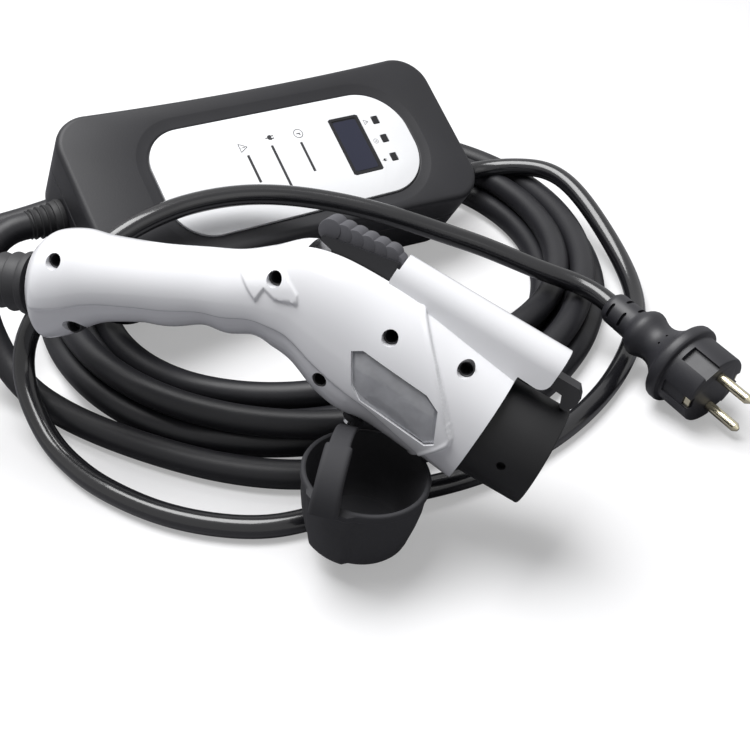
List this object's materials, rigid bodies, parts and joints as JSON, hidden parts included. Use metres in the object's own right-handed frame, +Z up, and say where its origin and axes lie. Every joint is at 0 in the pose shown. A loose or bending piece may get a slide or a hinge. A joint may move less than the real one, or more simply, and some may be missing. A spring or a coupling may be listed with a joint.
{
  "type": "electric car charger",
  "caption": "Portable car charging lead: control box with display, gun connector with thumb latch and tethered dust cap, coiled cable and mains plug.",
  "frame": {"origin": "on the table, under the middle of the rigid pieces' bounding box, cables and plug left out", "axes": "+Z up; +Y away from the viewer; the connector's nose points to +X and down; the control box leans on the cable coil"},
  "size_m": [0.4595, 0.3839, 0.1308],
  "materials": {
    "case_black": "moulded with a fine spark-eroded texture",
    "plate_white": "satin front plate",
    "display_dark": "polished window over a dark display",
    "lamp_dark": "dark lenses over the lamps",
    "board_green": "printed circuit board",
    "relay_blue": "moulded relay cases",
    "core_grey": "potted ring core",
    "seal_black": "soft seal",
    "screw_steel": "zinc-plated steel",
    "screw_black": "blackened steel",
    "gland_rubber": "moulded soft strain relief",
    "handle_white": "smooth moulded white shells",
    "window_grey": "tinted translucent panels",
    "nose_black": "moulded glass-filled nylon",
    "seal_red": "silicone seal",
    "contact_silver": "silver-plated copper alloy",
    "lever_black": "moulded lever",
    "button_grey": "ribbed soft-touch thumb button",
    "pin_steel": "ground steel",
    "switch_black": "small switch case",
    "boot_rubber": "ribbed soft cable boot",
    "cap_rubber": "soft matt dust cap",
    "plug_black": "moulded-on plug",
    "pin_nickel": "nickel-plated brass",
    "lead_black": "smooth cable sheath with a light gloss",
    "cable_black": "matt cable sheath"
  },
  "bodies": {
    "root": {"box_base": "case_black", "box_cover": "case_black", "box_seal": "seal_black", "faceplate": "plate_white", "lcd_window": "display_dark", "lcd_module": "board_green", "lamp_windows": "lamp_dark", "circuit_board": "board_green", "relays": "relay_blue", "leakage_coil": "core_grey", "box_screws": "screw_steel", "mains_gland": "gland_rubber", "ev_gland": "gland_rubber", "handle_near": "handle_white", "handle_far": "handle_white", "handle_screws": "screw_black", "window_near": "window_grey", "window_far": "window_grey", "nose_collar": "nose_black", "contact_block": "nose_black", "nose_seal": "seal_red", "power_sockets": "contact_silver", "earth_socket": "contact_silver", "signal_sockets": "contact_silver", "latch_pin": "pin_steel", "latch_spring": "pin_steel", "latch_switch": "switch_black", "cord_clamp": "switch_black", "cable_boot": "boot_rubber", "cap_pin": "pin_steel", "plug_body": "plug_black", "plug_pins": "pin_nickel", "earth_clips": "pin_nickel", "mains_lead": "lead_black", "ev_coil": "cable_black", "ev_lead_box": "cable_black", "ev_lead_handle": "cable_black"},
    "latch": {"latch_lever": "lever_black", "thumb_button": "button_grey"},
    "cap": {"dust_cap": "cap_rubber"}
  },
  "joints": [
    {"name": "latch_press", "type": "hinge", "parent": "root", "child": "latch", "pos_m": [0.09381, -0.10746, 0.09834], "axis": [-0.2387, -0.9031, 0.357], "range_deg": [0, 4], "stiffness_Nm_per_rad": 1.5, "springref_deg": -5.73, "deforming": ["latch_spring"]},
    {"name": "cap_swing", "type": "hinge", "parent": "root", "child": "cap", "pos_m": [0.05273, -0.11594, 0.04941], "axis": [-0.5031, -0.1994, -0.8409], "range_deg": [0, 40]}
  ]
}
